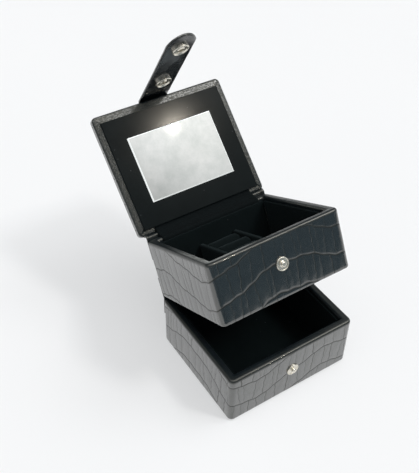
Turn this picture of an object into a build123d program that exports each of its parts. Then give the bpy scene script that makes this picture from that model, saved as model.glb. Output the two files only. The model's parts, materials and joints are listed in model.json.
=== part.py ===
"""Two-tier travel jewelry box with a mirror lid and a snap strap, shown open.

Millimetres, +Z up. The origin is the middle of the lower tier's underside, +X runs along the front,
and the front faces -Y. Every piece is drawn as it lies with the box shut, then swung open.
"""

import os
from build123d import *

# Tiers
box_width = 107.0
box_depth = 93.0
tier_height = 45.5
corner_radius = 4.0
rim_radius = 2.0
foot_radius = 2.0
shut_gap = 0.4
cut_past = 1.0

# Boards, cover leather and underside cloth
board = 4.5
base_board = 3.0
leather = 0.9
turn_in = 9.0
turn_under = 10.0
opening_radius = 1.2
base_cloth = 0.6
base_cloth_inset = 4.0
base_cloth_radius = 3.0

# Velvet lining
lining = 1.8
lining_drop = 3.0
lining_edge = 0.8
floor_pad = 2.0
floor_pad_edge = 0.8
glue_fit = 0.15

# Upper tier insert
divider = 4.0
divider_spread = 30.0
divider_top = 30.0
divider_edge = 1.5
roll_count = 5
roll_top = 29.5
roll_flat = 0.8
roll_fit = 0.15
roll_end_radius = 2.0

# Lid
lid_overhang = 2.2
lid_corner_radius = 3.6
lid_board = 3.0
lid_pad = 2.2
lid_pad_edge = 1.7
lid_top_edge = 2.4
lid_under_edge = 1.0
lid_turn_in = 14.0
panel = 1.8
panel_side_border = 5.0
panel_front_border = 6.0
panel_back_border = 4.0
panel_corner_radius = 1.5
panel_edge = 0.6
mirror_width = 72.0
mirror_height = 51.0
mirror_set_back = 0.8
mirror_thickness = 2.0
mirror_proud = 1.0
mirror_bevel = 0.8
mirror_fit = 0.3
mirror_tape_inset = 4.0

# Snap fasteners
stud_rise = 2.25
stud_flange_radius = 4.9
stud_flange = 0.6
stud_bead_radius = 0.4
stud_neck_radius = 1.6
stud_head_radius = 2.0
stud_length = 2.9
stud_bore_radius = 1.15
stud_bore_depth = 2.0
post_radius = 1.1
post_hole_radius = 1.3
post_head_radius = 3.8
post_head = 0.6
post_end_gap = 0.5
socket_radius = 6.3
socket_height = 2.2
socket_edge = 0.7
socket_back = 0.4
socket_dish = 0.9
socket_dish_radius = 4.9
socket_collar_radius = 3.2
socket_fit = 0.2
cap_radius = 6.2
cap_height = 1.6
cap_edge = 0.5
cap_shank_radius = 1.8
shank_fit = 0.15

# Strap
strap_width = 25.0
strap_leather = 1.1
strap_lining = 0.7
strap_lining_inset = 0.6
strap_lining_start = 6.0
strap_fold_radius = 2.5
strap_root = 24.0
strap_root_radius = 6.0
strap_tip_height = 10.5
strap_tip_rise = 9.5

# Hinge strips
spine = 0.8
spine_glue = 16.0
spine_fold_radius = 1.0
spine_inset = 3.0
ribbon = 0.4
ribbon_inset = 13.0
ribbon_rim_glue = 3.4
ribbon_lid_glue = 1.6
ribbon_fold_clear = 0.15
ribbon_bend = 0.6

# How far the box stands open, in degrees from shut
tier_open = 28.0
lid_open = 108.5
strap_open = 9.5

# Sizes that follow from those above
front = -box_depth / 2
back = box_depth / 2
rim_width = board + 2 * leather
stud_height = tier_height / 2 + stud_rise
cover_low = base_cloth
board_low = cover_low + leather
board_high = tier_height - leather
base_top = board_low + base_board
floor_top = base_top + floor_pad
opening_width = box_width - 2 * rim_width
opening_depth = box_depth - 2 * rim_width
inner_depth = opening_depth - 2 * lining
inner_width = opening_width - 2 * lining

upper_low = tier_height + shut_gap
upper_rim = upper_low + tier_height
panel_low = upper_rim + shut_gap
lid_low = panel_low + panel
lid_high = lid_low + leather + lid_board + lid_pad + leather
lid_width = box_width + 2 * lid_overhang
lid_depth = box_depth + lid_overhang
lid_middle = -lid_overhang / 2
mirror_middle = lid_middle + mirror_set_back

socket_bore_radius = stud_head_radius + socket_fit
snap_standoff = stud_flange + stud_bead_radius + socket_fit + socket_height
strap_inner = front - snap_standoff
strap_axis_y = strap_inner - strap_lining + strap_fold_radius
strap_axis_z = lid_high - strap_fold_radius
strap_mid_radius = strap_fold_radius + strap_leather / 2

spine_mid_radius = spine_fold_radius + spine / 2
spine_axis_y = back + spine + spine_fold_radius
tier_axis_z = tier_height + shut_gap / 2
lid_axis_z = (upper_rim + lid_low) / 2


def swing(degrees, y, z):
    """Opens a piece by an angle about a hinge line that runs along X."""
    return Pos(0, y, z) * Rot(-degrees, 0, 0) * Pos(0, -y, -z)


upper_pose = swing(tier_open, spine_axis_y, tier_axis_z)
lid_pose = upper_pose * swing(lid_open, spine_axis_y, lid_axis_z)
strap_pose = lid_pose * swing(strap_open, strap_axis_y, strap_axis_z)


def slab(width, depth, low, high, radius=0.0, x=0.0, y=0.0):
    """A flat plate between two heights, with its upright corners rounded."""
    outline = RectangleRounded(width, depth, radius) if radius else Rectangle(width, depth)
    return Pos(x, y, low) * extrude(outline, high - low)


def rim_edges(shape, axis, last):
    """The outer edge loop of the first or last face along an axis."""
    return shape.faces().sort_by(axis)[-1 if last else 0].outer_wire().edges()


def upright(shape):
    """The edges of a shape that run along Z."""
    return shape.edges().filter_by(Axis.Z)


def front_drill(radius, depth, height):
    """A round cutter that enters the front face at a height."""
    return Pos(0, front + depth / 2, height) * Rot(90, 0, 0) * Cylinder(radius, depth + 2 * cut_past)


# Covered tiers


def tier_cover():
    """Leather wrapped up the walls, over the rim, down inside it and under the base."""
    skin = slab(box_width, box_depth, cover_low, tier_height, corner_radius)
    skin = fillet(rim_edges(skin, Axis.Z, True), rim_radius)
    skin = fillet(rim_edges(skin, Axis.Z, False), foot_radius)
    skin -= slab(box_width - 2 * leather, box_depth - 2 * leather, board_low, board_high,
                 corner_radius - leather)
    skin -= slab(box_width - 2 * turn_under, box_depth - 2 * turn_under, 0, board_low, corner_radius)
    flap_width = box_width - 2 * (leather + board)
    flap_depth = box_depth - 2 * (leather + board)
    skin += slab(flap_width, flap_depth, tier_height - turn_in, board_high)
    skin -= slab(opening_width, opening_depth, board_low, tier_height + cut_past, opening_radius)
    inner_rim = [edge for edge in skin.edges().group_by(Axis.Z)[-1]
                 if abs(edge.center().X) <= opening_width / 2 and abs(edge.center().Y) <= opening_depth / 2]
    skin = fillet(inner_rim, rim_radius)
    return skin - front_drill(post_hole_radius, leather, stud_height)


def tier_boards():
    """The glued box under the leather: four walls round a base."""
    wall_width = box_width - 2 * leather
    side_depth = box_depth - 2 * (leather + board)
    wall_y = box_depth / 2 - leather - board / 2
    side_x = box_width / 2 - leather - board / 2
    front_wall = slab(wall_width, board, board_low, board_high, y=-wall_y)
    front_wall = fillet(upright(front_wall).group_by(Axis.Y)[0], corner_radius - leather)
    back_wall = slab(wall_width, board, board_low, board_high, y=wall_y)
    back_wall = fillet(upright(back_wall).group_by(Axis.Y)[-1], corner_radius - leather)
    return {
        "front_board": front_wall - front_drill(post_hole_radius, board + leather, stud_height),
        "back_board": back_wall,
        "left_board": slab(board, side_depth, board_low, board_high, x=-side_x),
        "right_board": slab(board, side_depth, board_low, board_high, x=side_x),
        "base_board": slab(wall_width - 2 * board, side_depth, board_low, base_top),
    }


def tier_lining():
    """Velvet panels on the four walls, with soft top edges, and a velvet floor pad."""
    high = tier_height - lining_drop
    wall_y = opening_depth / 2 - lining / 2
    side_x = opening_width / 2 - lining / 2
    side_depth = inner_depth - 2 * glue_fit
    panels = {
        "front_lining": slab(opening_width - 2 * opening_radius, lining, base_top, high, y=-wall_y),
        "back_lining": slab(opening_width - 2 * opening_radius, lining, base_top, high, y=wall_y),
        "left_lining": slab(lining, side_depth, base_top, high, x=-side_x),
        "right_lining": slab(lining, side_depth, base_top, high, x=side_x),
    }
    pieces = {}
    for name, shape in panels.items():
        along = Axis.X if name in ("front_lining", "back_lining") else Axis.Y
        top_edges = shape.edges().filter_by(along).group_by(Axis.Z)[-1]
        pieces[name] = fillet(top_edges, lining_edge)
    pad = slab(inner_width - 2 * glue_fit, inner_depth - 2 * glue_fit, base_top, floor_top)
    pieces["floor_pad"] = fillet(rim_edges(pad, Axis.Z, True), floor_pad_edge)
    return pieces


def snap_stud():
    """Turned stud: a flange with a beaded edge, a neck and a rounded head. It points along +Z."""
    bead_middle = stud_flange_radius - stud_bead_radius
    neck_low = stud_flange + stud_bead_radius
    head_low = stud_length - stud_head_radius / 2
    crown = stud_head_radius / 2
    outline = Polyline((0, stud_bore_depth), (stud_bore_radius, stud_bore_depth), (stud_bore_radius, 0),
                       (stud_flange_radius, 0), (stud_flange_radius, stud_flange))
    outline += CenterArc((bead_middle, stud_flange), stud_bead_radius, 0, 180)
    outline += Polyline((bead_middle - stud_bead_radius, stud_flange),
                        (stud_head_radius + stud_bead_radius, stud_flange), (stud_neck_radius, neck_low),
                        (stud_neck_radius, head_low - stud_bead_radius), (stud_head_radius, head_low))
    outline += TangentArc((stud_head_radius, head_low), (crown, stud_length), tangent=(0, 1))
    outline += Polyline((crown, stud_length), (0, stud_length), (0, stud_bore_depth))
    return revolve(Plane.XZ * make_face(outline), Axis.Z)


def stud_post():
    """Rivet that holds the stud through the front wall: its head lies under the lining."""
    grip = leather + board
    reach = stud_bore_depth - post_end_gap
    shank = Pos(0, 0, (reach - grip) / 2) * Cylinder(post_radius, reach + grip)
    head = Pos(0, 0, -grip - post_head / 2) * Cylinder(post_head_radius, post_head)
    return shank + fillet(head.edges().group_by(Axis.Z)[0], post_head / 3)


def tier(name):
    """All the pieces that both tiers share, standing on z = 0."""
    on_front = Pos(0, front, stud_height) * Rot(90, 0, 0)
    pieces = {"cover": tier_cover(), **tier_boards(), **tier_lining()}
    pieces["base_cloth"] = slab(box_width - 2 * base_cloth_inset, box_depth - 2 * base_cloth_inset,
                                0, base_cloth, base_cloth_radius)
    pieces["stud"] = on_front * snap_stud()
    pieces["stud_post"] = on_front * stud_post()
    return {f"{name}_{piece}": shape for piece, shape in pieces.items()}


# Upper tier insert


def dividers():
    """Two velvet-covered partitions that stand on the floor pad from the front lining to the back one."""
    depth = inner_depth - 2 * glue_fit
    pieces = {}
    for name, side in (("left_divider", -1), ("right_divider", 1)):
        wall = slab(divider, depth, floor_top, divider_top, x=side * divider_spread / 2)
        top_edges = wall.edges().filter_by(Axis.Y).group_by(Axis.Z)[-1]
        pieces[name] = fillet(top_edges, divider_edge)
    return pieces


def ring_rolls():
    """A foam block between the partitions carries a row of velvet rolls that grip rings."""
    pitch = inner_depth / roll_count
    radius = pitch / 2 - roll_fit
    middle = roll_top - radius
    seat = middle - radius + roll_flat
    bay = divider_spread - divider - 2 * glue_fit
    pieces = {"ring_block": slab(bay, inner_depth - 2 * glue_fit, floor_top, seat)}
    roll = Rot(0, 90, 0) * Cylinder(radius, bay)
    roll = fillet(roll.edges().filter_by(GeomType.CIRCLE), roll_end_radius)
    under = Pos(0, 0, roll_flat - radius) * Box(bay, 2 * radius, 2 * radius,
                                                align=(Align.CENTER, Align.CENTER, Align.MAX))
    roll -= under
    for index in range(roll_count):
        place = -inner_depth / 2 + pitch * (index + 0.5)
        pieces[f"ring_roll_{index + 1}"] = Pos(0, place, middle) * roll
    return pieces


# Lid


def lid_cover():
    """Leather over the lid's board and foam, turned in round the underside."""
    skin = slab(lid_width, lid_depth, lid_low, lid_high, lid_corner_radius, y=lid_middle)
    skin = fillet(rim_edges(skin, Axis.Z, True), lid_top_edge)
    skin = fillet(rim_edges(skin, Axis.Z, False), lid_under_edge)
    skin -= lid_core(lid_low + leather, lid_high - leather, lid_pad_edge)
    return skin - slab(lid_width - 2 * lid_turn_in, lid_depth - 2 * lid_turn_in, lid_low - cut_past,
                       lid_low + leather, lid_corner_radius, y=lid_middle)


def lid_core(low, high, edge=0.0):
    """A sheet that fills the lid's leather between two heights, with its top edge eased."""
    core = slab(lid_width - 2 * leather, lid_depth - 2 * leather, low, high,
                lid_corner_radius - leather, y=lid_middle)
    return fillet(rim_edges(core, Axis.Z, True), edge) if edge else core


def lid_panel():
    """Velvet panel glued inside the lid, with a window for the mirror."""
    depth = lid_depth - panel_front_border - panel_back_border
    middle = lid_middle + (panel_front_border - panel_back_border) / 2
    sheet = slab(lid_width - 2 * panel_side_border, depth, panel_low, lid_low, panel_corner_radius, y=middle)
    sheet = fillet(rim_edges(sheet, Axis.Z, False), panel_edge)
    return sheet - slab(mirror_width + 2 * mirror_fit, mirror_height + 2 * mirror_fit,
                        panel_low - cut_past, lid_low + cut_past, y=mirror_middle)


def lid_mirror():
    """Glass with a ground bevel, standing a little proud of the velvet."""
    low = panel_low - mirror_proud
    glass = slab(mirror_width, mirror_height, low, low + mirror_thickness, y=mirror_middle)
    return chamfer(rim_edges(glass, Axis.Z, False), mirror_bevel)


def lid_pieces():
    """The lid's own layers, from the leather inwards."""
    board_top = lid_low + leather + lid_board
    tape_low = panel_low - mirror_proud + mirror_thickness
    return {
        "lid_cover": lid_cover(),
        "lid_board": lid_core(lid_low + leather, board_top),
        "lid_pad": lid_core(board_top, lid_high - leather, lid_pad_edge),
        "lid_panel": lid_panel(),
        "mirror": lid_mirror(),
        "mirror_tape": slab(mirror_width - 2 * mirror_tape_inset, mirror_height - 2 * mirror_tape_inset,
                            tape_low, lid_low + leather, y=mirror_middle),
    }


# Strap and its snaps


def strap_outline(width, start, tip, rise):
    """The flap seen from the front: straight sides and an arched tip."""
    half = width / 2
    side = tip + rise
    outline = Polyline((-half, side), (-half, start), (half, start), (half, side))
    outline += ThreePointArc((half, side), (0, tip), (-half, side))
    return make_face(outline)


def flap_sheet(outline, outside, thickness):
    """A layer of the flap, from its outer face inwards to the box."""
    sheet = extrude(Plane.XZ * outline, -thickness)
    return Pos(0, outside, 0) * sheet


def strap_root_sheet():
    """The strap's sewn end on the lid and the fold that it turns down through."""
    over = lid_high + strap_leather / 2
    fold = CenterArc((strap_axis_y, strap_axis_z), strap_mid_radius, 90, 90 - strap_open)
    path = Line((strap_axis_y + strap_root, over), (strap_axis_y, over)) + fold
    sheet = extrude(Plane.YZ * trace(path, strap_leather), strap_width / 2, both=True)
    corners = upright(sheet).group_by(Axis.Y)[-1]
    return fillet(corners, strap_root_radius)


def snap_socket():
    """Pressed socket: a rounded rim, a dished face and a collar for the stud's head. It points along +Z."""
    outline = Polyline((cap_shank_radius + shank_fit, 0), (socket_radius, 0),
                       (socket_radius, socket_height - socket_edge))
    outline += TangentArc((socket_radius, socket_height - socket_edge),
                          (socket_radius - socket_edge, socket_height), tangent=(0, 1))
    dish = socket_height - socket_dish
    outline += Polyline((socket_radius - socket_edge, socket_height), (socket_dish_radius, dish),
                        (socket_collar_radius, dish),
                        (socket_bore_radius + socket_fit, socket_height - socket_fit),
                        (socket_bore_radius, socket_height - 2 * socket_fit),
                        (socket_bore_radius, socket_back), (cap_shank_radius + shank_fit, socket_back),
                        (cap_shank_radius + shank_fit, 0))
    return revolve(Plane.XZ * make_face(outline), Axis.Z)


def snap_cap():
    """Domed cap on the strap's outer side. Its shank is pressed into the socket. It points along -Z."""
    through = strap_leather + strap_lining + socket_back / 2
    outline = Polyline((0, through), (cap_shank_radius, through), (cap_shank_radius, 0), (cap_radius, 0),
                       (cap_radius, -cap_edge))
    outline += TangentArc((0, -cap_height), (cap_radius, -cap_edge), tangent=(1, 0))
    outline += Line((0, -cap_height), (0, through))
    return revolve(Plane.XZ * make_face(outline), Axis.Z)


def strap_pieces():
    """The flap's leather and lining with a socket and a cap for each stud."""
    outside = strap_inner - strap_lining - strap_leather
    heights = {"upper": upper_low + stud_height, "lower": stud_height}
    outer = flap_sheet(strap_outline(strap_width, strap_axis_z, strap_tip_height, strap_tip_rise),
                       outside, strap_leather)
    inner = flap_sheet(strap_outline(strap_width - 2 * strap_lining_inset, strap_axis_z - strap_lining_start,
                                     strap_tip_height + strap_lining_inset, strap_tip_rise),
                       outside + strap_leather, strap_lining)
    hole_length = 2 * (strap_leather + strap_lining + cut_past)
    pieces = {}
    for name, height in heights.items():
        hole = Rot(90, 0, 0) * Cylinder(cap_shank_radius + shank_fit, hole_length)
        hole = Pos(0, strap_inner, height) * hole
        outer -= hole
        inner -= hole
        inwards = Rot(-90, 0, 0)
        pieces[f"{name}_socket"] = Pos(0, strap_inner, height) * inwards * snap_socket()
        pieces[f"{name}_cap"] = Pos(0, outside, height) * inwards * snap_cap()
    return {"strap_flap": outer, "strap_lining": inner, **pieces}


# Leather hinges


def spine_strip(axis_z, angle, above):
    """Leather glued to the back below a fold and, past the fold, to the face that swings."""
    axis = (spine_axis_y, axis_z)
    near = spine_axis_y - spine_mid_radius
    fold = CenterArc(axis, spine_mid_radius, 180, -angle)
    path = Line((near, axis_z - spine_glue), (near, axis_z)) + fold
    path += Line(fold @ 1, fold @ 1 + (fold % 1) * above)
    return extrude(Plane.YZ * trace(path, spine), box_width / 2 - spine_inset, both=True)


def lid_ribbon():
    """Woven tape inside the lid's hinge: from the back rim, over the leather fold, to the lid's border."""
    axis = Vector(spine_axis_y, lid_axis_z)
    gap = Vector(0, (lid_low - upper_rim) / 2 - ribbon / 2)
    rim_end = Vector(back - rim_radius, lid_axis_z) - gap - axis
    lid_end = (Vector(back - lid_under_edge - ribbon_lid_glue / 2, lid_axis_z) + gap - axis).rotate(
        Axis.Z, -lid_open)
    along_lid = Vector(-1, 0).rotate(Axis.Z, -lid_open)
    across = (lid_end - rim_end).rotate(Axis.Z, 90).normalized()
    crest = across * (spine_fold_radius + spine + ribbon / 2 + ribbon_fold_clear) * 1.1
    route = [rim_end - Vector(ribbon_rim_glue, 0), rim_end, crest, lid_end,
             lid_end + along_lid * ribbon_lid_glue]
    path = FilletPolyline(*[point + axis for point in route], radius=ribbon_bend)
    return extrude(Plane.YZ * trace(path, ribbon), lid_width / 2 - ribbon_inset, both=True)


def hinges():
    """The hinge strips as they lie on the upper tier with the lid and tier open."""
    lid_glue = lid_high - lid_top_edge - lid_axis_z
    return {
        "lid_hinge_spine": upper_pose * spine_strip(lid_axis_z, lid_open, lid_glue),
        "lid_hinge_ribbon": upper_pose * lid_ribbon(),
        "tier_hinge_spine": spine_strip(tier_axis_z, tier_open, spine_glue),
    }


def assembly():
    """Every piece by name, in the open pose."""
    pieces = dict(tier("lower"))
    lift = upper_pose * Pos(0, 0, upper_low)
    for name, shape in {**tier("upper"), **dividers(), **ring_rolls()}.items():
        pieces[name] = lift * shape
    for name, shape in {**lid_pieces(), "strap_root": strap_root_sheet()}.items():
        pieces[name] = lid_pose * shape
    for name, shape in strap_pieces().items():
        pieces[name] = strap_pose * shape
    pieces.update(hinges())
    return pieces


if __name__ == "__main__":
    os.makedirs("parts", exist_ok=True)
    for name, shape in assembly().items():
        export_step(shape, f"parts/{name}.step")
        print(name, "solids", len(shape.solids()), "volume", round(shape.volume, 1))
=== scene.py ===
# %% [markdown]
# # A two-tier travel jewelry box
# The box stands open: two trays covered in embossed leatherette, a mirror lid and a long snap strap.
# The imported CAD model gives the frame. We load it first. The dressed model has to keep to its size.

# %% Load the frame
import json
import math

import bpy
import numpy as np
from mathutils import Matrix, Vector


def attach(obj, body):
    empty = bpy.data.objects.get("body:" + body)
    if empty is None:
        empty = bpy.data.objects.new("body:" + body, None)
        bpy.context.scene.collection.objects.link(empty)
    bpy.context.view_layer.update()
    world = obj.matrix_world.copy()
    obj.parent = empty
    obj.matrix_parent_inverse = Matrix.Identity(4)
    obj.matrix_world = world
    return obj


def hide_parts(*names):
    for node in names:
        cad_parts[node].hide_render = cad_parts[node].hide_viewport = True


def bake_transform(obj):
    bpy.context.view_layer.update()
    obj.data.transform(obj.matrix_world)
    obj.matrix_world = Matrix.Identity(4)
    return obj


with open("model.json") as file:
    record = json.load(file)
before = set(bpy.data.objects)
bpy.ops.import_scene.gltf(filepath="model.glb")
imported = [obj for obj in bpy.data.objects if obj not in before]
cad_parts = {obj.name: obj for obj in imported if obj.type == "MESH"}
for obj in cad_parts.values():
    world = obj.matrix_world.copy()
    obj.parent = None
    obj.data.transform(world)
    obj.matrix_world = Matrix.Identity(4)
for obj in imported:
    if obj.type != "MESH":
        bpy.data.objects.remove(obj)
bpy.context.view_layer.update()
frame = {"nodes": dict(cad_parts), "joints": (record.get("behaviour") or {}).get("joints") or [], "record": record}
nodes = frame["nodes"]
bpy.ops.object.select_all(action="DESELECT")

# %% [markdown]
# ## Sizes and the way the box stands open
# Every soft piece is easiest to shape with the box shut, where its edges are square to the axes.
# It is then swung open about the same hinge lines as the CAD bodies. The joints of the frame say how far
# each one is from shut.

# %% Sizes in metres and the opening swings
MM = 0.001
WIDTH, DEPTH, TIER = 107 * MM, 93 * MM, 45.5 * MM
FRONT, BACK = -DEPTH / 2, DEPTH / 2
GAP = 0.4 * MM
UPPER = TIER + GAP
RIM = UPPER + TIER
RIM_WIDTH = 6.3 * MM
PANEL, LID_THICK, OVERHANG = 1.8 * MM, 7 * MM, 2.2 * MM
LID_LOW = RIM + GAP + PANEL
LID_HIGH = LID_LOW + LID_THICK
HINGE_OUT = 1.8 * MM
HINGE_Y = BACK + HINGE_OUT
TIER_HINGE_Z = TIER + GAP / 2
LID_HINGE_Z = (RIM + LID_LOW) / 2
STRAP_STAND, STRAP_LINING, STRAP_FOLD = 3.4 * MM, 0.7 * MM, 2.5 * MM
STRAP_Y = FRONT - STRAP_STAND - STRAP_LINING + STRAP_FOLD
STRAP_Z = LID_HIGH - STRAP_FOLD

opened = {joint["name"]: -math.radians(joint["range_deg"][0]) for joint in frame["joints"]}


def swing(angle, y, z):
    """Opens by an angle about a line along X through (y, z)."""
    place = Matrix.Translation((0, y, z))
    return place @ Matrix.Rotation(-angle, 4, "X") @ place.inverted()


lower_pose = Matrix.Identity(4)
upper_pose = swing(opened["tier_hinge"], HINGE_Y, TIER_HINGE_Z)
lid_pose = upper_pose @ swing(opened["lid_hinge"], HINGE_Y, LID_HINGE_Z)
strap_pose = lid_pose @ swing(opened["strap_fold"], STRAP_Y, STRAP_Z)
for name, angle in opened.items():
    print(name, "stands open by", round(math.degrees(angle), 1), "degrees")

# %% [markdown]
# ## Camera
# The camera stands to the left, in front and above. Its place was found by matching the corners of the
# trays, lid and mirror to the photograph, so it has a very small roll.

# %% Camera
EYE = Vector((-0.23301, -0.29276, 0.45802))
RIGHT = Vector((0.842056, -0.539327, 0.008232))
UP = Vector((0.358488, 0.570983, 0.738555))
FOCAL_PIXELS, LONG_SIDE = 745.03, 473
scene = bpy.context.scene
camera_data = bpy.data.cameras.new("camera")
camera_data.sensor_width = 36
camera_data.lens = FOCAL_PIXELS / LONG_SIDE * camera_data.sensor_width
camera = bpy.data.objects.new("camera", camera_data)
scene.collection.objects.link(camera)
turn = Matrix((RIGHT, UP, RIGHT.cross(UP))).transposed().to_4x4()
camera.matrix_world = Matrix.Translation(EYE) @ turn
scene.camera = camera
scene.view_settings.view_transform = "Standard"
print("lens", round(camera_data.lens, 1), "mm")

# %% [markdown]
# ## Shader maths in Python
# A node tree is hard to read as code. One small class wraps a node's output, so that sums and products of
# values are written as plain Python, and each becomes a Math node. Every other node comes from its `node`
# method.


# %% Socket class
class Socket:
    """An output of a node, with arithmetic."""

    def __init__(self, output):
        self.output = output
        self.tree = output.id_data

    def node(self, kind, settings, inputs, output=0):
        """Adds a node of a kind to the same tree and returns one of its outputs."""
        made = self.tree.nodes.new(kind)
        for key, value in settings.items():
            if key == "stops":
                set_stops(made.color_ramp, value)
            else:
                setattr(made, key, value)
        for key, value in inputs.items():
            feed(made.inputs[key], value)
        return Socket(made.outputs[output])

    def math(self, operation, left, right=0.0):
        return self.node("ShaderNodeMath", {"operation": operation}, {0: left, 1: right})

    def __add__(self, other):
        return self.math("ADD", self, other)

    def __sub__(self, other):
        return self.math("SUBTRACT", self, other)

    def __rsub__(self, other):
        return self.math("SUBTRACT", other, self)

    def __mul__(self, other):
        return self.math("MULTIPLY", self, other)

    __radd__ = __add__
    __rmul__ = __mul__


def feed(target, value):
    """Links a socket to an input, or sets the input's own value."""
    if isinstance(value, Socket):
        target.id_data.links.new(value.output, target)
    else:
        target.default_value = value


def set_stops(ramp, stops):
    """Puts the stops of a colour ramp at their places."""
    while len(ramp.elements) < len(stops):
        ramp.elements.new(1.0)
    for element, (place, colour) in zip(ramp.elements, stops):
        element.position = place
        element.color = (*colour, 1.0)


print("sockets can be added and multiplied")

# %% [markdown]
# Every finish is one Principled shader. Its plain values are set when it is made. What changes over the
# surface comes from noise, ramps and values stored on the mesh, and is fed in afterwards.

# %% Finish helpers
BLACK, WHITE = (0, 0, 0), (1, 1, 1)


def new_finish(name, **plain):
    """A material with its shader's plain values set, the shader, and the Object coordinates."""
    material = bpy.data.materials.new(name)
    material.use_nodes = True
    shader = material.node_tree.nodes["Principled BSDF"]
    for key, value in plain.items():
        shader.inputs[key.replace("_", " ")].default_value = value
    place = Socket(material.node_tree.nodes.new("ShaderNodeTexCoord").outputs["Object"])
    return material, shader, place


def vary(shader, **changing):
    """Feeds the inputs that change over the surface."""
    for key, value in changing.items():
        feed(shader.inputs[key.replace("_", " ")], value)


def stored(place, name):
    """A value stored on a mesh."""
    return place.node("ShaderNodeAttribute", {"attribute_name": name}, {}, "Fac")


def bump(place, height, strength, distance):
    """A normal that follows a height."""
    return place.node("ShaderNodeBump", {}, {"Height": height, "Strength": strength, "Distance": distance}, "Normal")


def noise(place, scale, detail=3.0, roughness=0.55):
    """Cloudy value from 0 to 1. Scale counts the clouds in a metre."""
    return place.node(
        "ShaderNodeTexNoise", {},
        {"Vector": place, "Scale": scale, "Detail": detail, "Roughness": roughness}, "Fac",
    )


def ramp(value, *stops):
    """A colour ramp over a value."""
    return value.node("ShaderNodeValToRGB", {"stops": stops}, {"Fac": value}, "Color")


def mix(first, second, factor=1.0, blend="MIX"):
    """Two colours mixed, multiplied or added, at the colour sockets of a Mix node."""
    return first.node("ShaderNodeMix", {"data_type": "RGBA", "blend_type": blend},
                      {"Factor": factor, 6: first, 7: second}, 2)


print("finish helpers ready")

# %% [markdown]
# ## Leatherette
# The cover is a black plastic-coated cloth, pressed with a reptile pattern. Each point of a cover stores which
# row and which column of scales it lies in, as numbers that pass through a whole number at every crease. The
# finish turns the distance from the nearest whole number into a fine line, much thinner than the grid. The
# creases are duller than the polished scales and carry painted shade, and faint streaks run along each scale.
# Where the sheet is turned in at a rim it has little gloss, and the lid's border has a coarse grain.

# %% Leatherette finish
ROW_PITCH, COLUMN_PITCH = 20.5 * MM, 9.5 * MM
LONG_LINE, SHORT_LINE, NEXT_ROW = 0.95 * MM, 0.75 * MM, 37.0


def line(number, pitch, width):
    """1 in a crease, at whole numbers, and 0 from its width on."""
    share = number.math("FRACT", number)
    distance = (0.5 - share.math("ABSOLUTE", share - 0.5)) * pitch
    return distance.node(
        "ShaderNodeMapRange", {"interpolation_type": "SMOOTHSTEP"},
        {"Value": distance, "From Max": width, "To Min": 1.0, "To Max": 0.0}, "Result")


leather, shader, place = new_finish(
    "embossed_leatherette", Specular_Tint=(1, 0.97, 0.82, 1), IOR=1.5, Coat_Roughness=0.1, Coat_IOR=1.94
)
rows, columns, pressed, grained = (stored(place, name) for name in ("rows", "columns", "pressed", "grained"))
each = place.node("ShaderNodeTexWhiteNoise", {"noise_dimensions": "1D"},
                  {"W": columns.math("ROUND", columns) + rows.math("FLOOR", rows) * NEXT_ROW}, "Value")
long_line = line(rows, ROW_PITCH, LONG_LINE)
short_line = line(columns, COLUMN_PITCH, SHORT_LINE) * (0.35 + each * 0.65)
crease = long_line.math("MAXIMUM", long_line, short_line) * pressed
crease = crease.math("MAXIMUM", crease, stored(place, "tucks"))
turned_in = 1.0 - pressed
cloud, scuffs, pebbles = noise(place, 70.0), noise(place, 420.0, 4.0, 0.6), noise(place, 1000.0, 3.0, 0.6)
pores = place.node(
    "ShaderNodeTexVoronoi", {"feature": "SMOOTH_F1"}, {"Vector": place, "Scale": 1500.0}, "Distance"
)
specks = ramp(pebbles, (0.45, BLACK), (0.62, WHITE))
across = place.node("ShaderNodeCombineXYZ", {}, {"X": columns * 5.0, "Y": rows * 1.5}, "Vector")
streaks = ramp(noise(across, 1.0, 2.0), (0.46, BLACK), (0.62, WHITE)) * pressed
# Random tone from cloud and scuffs, less the crease term, which darkens the colour in creases, tucks and mitres as
# painted shade.
tone_and_crease_shade = cloud * 0.6 + scuffs * 0.4 - crease * 0.15
height = pores * 0.09 + scuffs * 0.14 + pebbles * grained * 2.5 - streaks * 0.08 - crease * 0.85
vary(
    shader,
    Base_Color=ramp(tone_and_crease_shade, (0.15, (0.0018, 0.0035, 0.005)), (0.5, (0.0045, 0.008, 0.0105)),
                    (0.85, (0.010, 0.0145, 0.0175))),
    Roughness=0.13 + cloud * 0.08 + crease * 0.15 + turned_in * 0.2 - grained * 0.14,
    Coat_Weight=(0.95 - crease * 0.95 - turned_in * 0.8 - streaks * 0.1
                 + grained * (specks * 0.9 - 0.25)),
    Normal=bump(place, height, 0.5, 0.3 * MM),
)
print("made", leather.name)

# %% [markdown]
# ## Velvet
# Velvet is a pile of short black threads. Seen along the threads it is almost black, and across them a grey
# bloom appears. Sheen gives that bloom, and a fine noise breaks it into single tufts that lean in patches.
# A few flecks of lint lie on it. On the lid's panel the pile is pressed flat, so a weak coat lets a lamp glow
# there.

# %% Velvet finish
LINT = (0.12, 0.13, 0.14, 1)
velvet, shader, place = new_finish(
    "black_velvet", Specular_IOR_Level=0.1, Sheen_Weight=0.07, Sheen_Roughness=0.45,
    Sheen_Tint=(0.45, 0.62, 0.66, 1), Coat_Roughness=0.115,
)
tufts, nap = noise(place, 2600.0, 2.0, 0.7), noise(place, 45.0, 3.0, 0.6)
pile = ramp(nap * 0.5 + tufts * 0.5, (0.25, (0.0008, 0.0022, 0.0025)), (0.75, (0.003, 0.0058, 0.0063)))
flecks = place.node("ShaderNodeTexVoronoi", {}, {"Vector": place, "Scale": 150.0}, "Distance")
vary(
    shader,
    Base_Color=mix(pile, LINT, ramp(flecks, (0.02, WHITE), (0.045, BLACK))),
    Roughness=0.85 + tufts * 0.15,
    Coat_Weight=stored(place, "flattened") * (0.15 + nap * 0.08),
    Normal=bump(place, tufts * 0.8 + nap * 0.6, 0.6, 0.3 * MM),
)
print("made", velvet.name)
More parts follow.
